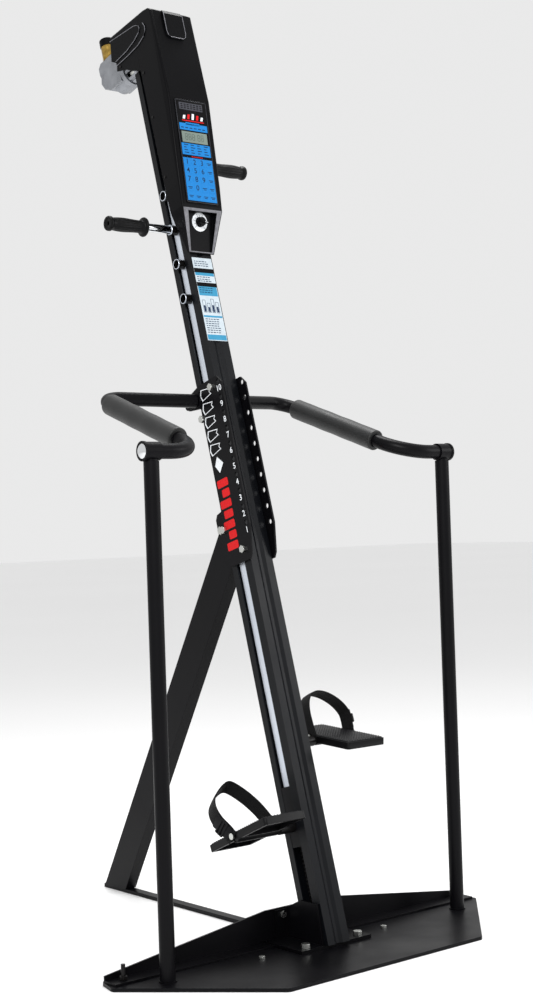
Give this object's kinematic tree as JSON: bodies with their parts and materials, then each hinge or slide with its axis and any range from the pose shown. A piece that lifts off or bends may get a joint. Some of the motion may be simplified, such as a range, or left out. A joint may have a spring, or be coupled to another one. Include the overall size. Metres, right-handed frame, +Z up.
{
  "type": "stair climber",
  "caption": "Vertical climbing machine: slotted mast leaning on a rear strut, opposed handle and pedal carriages, side rails with foam grips and a console head on a faceted floor plate.",
  "frame": {"origin": "on the floor at the middle of the footprint", "axes": "+Z up, +X to the user's right, +Y away from the user towards the rear strut"},
  "size_m": [1.1302, 1.15, 2.3459],
  "materials": {
    "frame_paint": "black powder coat, satin",
    "black_extrusion": "black anodised extrusion",
    "zinc_steel": "zinc plated",
    "bright_bar": "bright drawn bar",
    "chrome_plate": "polished",
    "black_rubber": "matte moulded",
    "black_foam": "closed cell foam skin",
    "head_plastic": "fine texture",
    "panel_plastic": "printed overlay",
    "window_glass": "clear over a grey green display",
    "blue_membrane": "printed overlay",
    "white_dial": "printed",
    "die_cast": "as cast, blasted",
    "brass_body": "turned",
    "glide_plastic": "machined",
    "pedal_casting": "black coated casting",
    "tread_rubber": "ribbed",
    "webbing": "woven nylon"
  },
  "bodies": {
    "frame": {"base_gusset": "frame_paint", "base_plate": "frame_paint", "brake_housing_front": "die_cast", "brake_housing_rear": "die_cast", "brake_terminal": "brass_body", "console_panel": "panel_plastic", "display_window": "window_glass", "drive_chain": "zinc_steel", "end_stops": "black_rubber", "foam_sleeves": "black_foam", "frame_bolts": "zinc_steel", "handrail_posts": "frame_paint", "handrails": "frame_paint", "head_bracket": "die_cast", "head_cover": "head_plastic", "head_rear_cover": "head_plastic", "head_screws": "zinc_steel", "idler_axle": "zinc_steel", "info_label": "white_dial", "keypad": "blue_membrane", "knob_dial": "white_dial", "levelling_screws": "zinc_steel", "mast": "black_extrusion", "mast_foot": "frame_paint", "plate_spacers": "zinc_steel", "rail_end_caps": "chrome_plate", "rail_tees": "frame_paint", "rear_bar": "frame_paint", "rear_strut": "frame_paint", "shaft_bearings": "zinc_steel", "side_plates": "frame_paint", "strut_yoke": "frame_paint", "terminal_cap": "head_plastic"},
    "carriage_left": {"link_bar_left": "bright_bar", "carriage_block_left": "glide_plastic", "carriage_glides_left": "glide_plastic", "handle_sockets_left": "bright_bar", "pedal_shaft_left": "chrome_plate"},
    "carriage_right": {"link_bar_right": "bright_bar", "carriage_block_right": "glide_plastic", "carriage_glides_right": "glide_plastic", "handle_sockets_right": "bright_bar", "pedal_shaft_right": "chrome_plate"},
    "handle_left": {"handle_tube_left": "chrome_plate", "handle_grip_left": "black_rubber"},
    "handle_right": {"handle_tube_right": "chrome_plate", "handle_grip_right": "black_rubber"},
    "pedal_left": {"pedal_body_left": "pedal_casting", "pedal_tread_left": "tread_rubber", "pedal_strap_left": "webbing", "strap_bolts_left": "zinc_steel"},
    "pedal_right": {"pedal_body_right": "pedal_casting", "pedal_tread_right": "tread_rubber", "pedal_strap_right": "webbing", "strap_bolts_right": "zinc_steel"},
    "brake_shaft": {"drive_shaft": "zinc_steel", "top_sprocket": "zinc_steel", "brake_rotor": "zinc_steel"},
    "idler": {"idler_sprocket": "zinc_steel"},
    "knob": {"resistance_knob": "head_plastic"}
  },
  "joints": [
    {"name": "carriage_left_slide", "type": "slide", "parent": "frame", "child": "carriage_left", "axis": [0, 0.2588, 0.9659], "range_m": [-0.1315, 0.3255]},
    {"name": "carriage_right_slide", "type": "slide", "parent": "frame", "child": "carriage_right", "axis": [0, 0.2588, 0.9659], "range_m": [-0.326, 0.132]},
    {"name": "pedal_left_tilt", "type": "hinge", "parent": "carriage_left", "child": "pedal_left", "pos_m": [0, -0.28585, 0.27659], "axis": [1, 0, 0], "range_deg": [-11.6, 58.4]},
    {"name": "pedal_right_tilt", "type": "hinge", "parent": "carriage_right", "child": "pedal_right", "pos_m": [0, -0.23564, 0.46398], "axis": [1, 0, 0], "range_deg": [-38.3, 31.7]},
    {"name": "handle_left_pull", "type": "slide", "parent": "carriage_left", "child": "handle_left", "axis": [-1, 0, 0], "range_m": [0, 0.04]},
    {"name": "handle_right_pull", "type": "slide", "parent": "carriage_right", "child": "handle_right", "axis": [1, 0, 0], "range_m": [0, 0.04]},
    {"name": "brake_shaft_spin", "type": "hinge", "parent": "frame", "child": "brake_shaft", "pos_m": [0, 0.24136, 2.24418], "axis": [0, 0.9659, -0.2588], "continuous": true},
    {"name": "idler_spin", "type": "hinge", "parent": "frame", "child": "idler", "pos_m": [0, -0.34357, 0.06119], "axis": [0, 0.9659, -0.2588], "continuous": true},
    {"name": "knob_turn", "type": "hinge", "parent": "frame", "child": "knob", "pos_m": [0, 0.04791, 1.77527], "axis": [0, -0.9999, 0.0105], "range_deg": [-135, 135]}
  ],
  "couplings": [
    {"joint": "carriage_right_slide", "follows": "carriage_left_slide", "ratio": -1},
    {"joint": "brake_shaft_spin", "follows": "carriage_left_slide", "rad_per_m": 59.156},
    {"joint": "idler_spin", "follows": "carriage_left_slide", "rad_per_m": 59.156}
  ]
}
